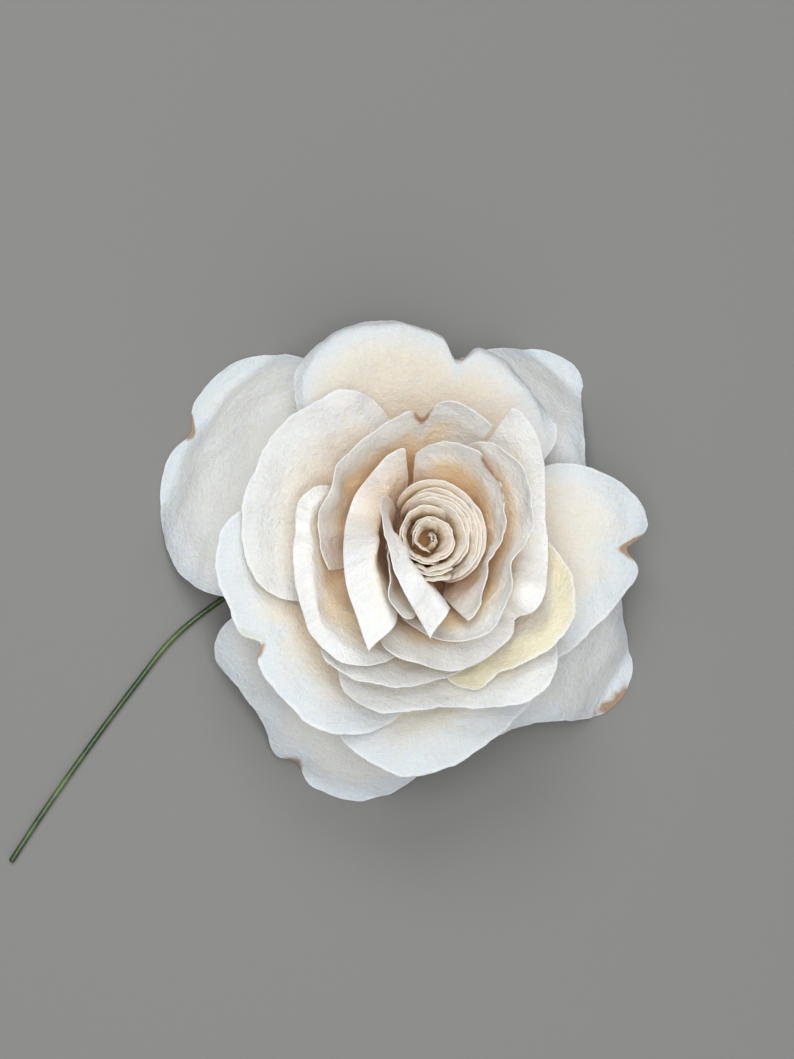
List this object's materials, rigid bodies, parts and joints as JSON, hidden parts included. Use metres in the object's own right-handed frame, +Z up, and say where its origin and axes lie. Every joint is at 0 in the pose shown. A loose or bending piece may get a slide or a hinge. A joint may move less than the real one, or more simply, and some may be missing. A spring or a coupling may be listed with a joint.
{
  "type": "dried rose",
  "caption": "Full-blown dried white rose lying face up, with layered petals round a spiral heart and a thin bent wire stem that runs out from under it.",
  "frame": {"origin": "middle of the base of the whole, on the surface it lies on", "axes": "+Z up along the flower's axis, out of its face; +X and +Y across the face, the stem running towards -X and -Y"},
  "size_m": [0.133, 0.1124, 0.0587],
  "materials": {
    "white_petal": "matte, suede-like",
    "ivory_petal": "matte, suede-like",
    "yellow_petal": "matte, suede-like",
    "cream_petal": "matte, suede-like",
    "heart_petal": "matte",
    "calyx": "dry, matte green",
    "wire": "satin dark green"
  },
  "bodies": {
    "root": {"guard_petal_left": "white_petal", "guard_petal_lower_right": "white_petal", "guard_petal_upper_right": "white_petal", "guard_petal_bottom": "white_petal", "outer_petal_right": "white_petal", "outer_petal_top": "white_petal", "outer_petal_bottom": "white_petal", "outer_petal_lower_left": "white_petal", "middle_petal_upper_left": "ivory_petal", "middle_petal_bottom": "ivory_petal", "middle_petal_yellow": "yellow_petal", "middle_petal_lower": "ivory_petal", "inner_petal_left": "cream_petal", "inner_petal_top": "cream_petal", "inner_petal_right": "cream_petal", "inner_wrap_outer": "cream_petal", "inner_wrap_brown_edge": "cream_petal", "curled_petal_large": "cream_petal", "tongue_petal": "cream_petal", "curled_petal_small": "cream_petal", "heart_petals": "heart_petal", "calyx": "calyx", "stem_wire": "wire"}
  },
  "joints": []
}
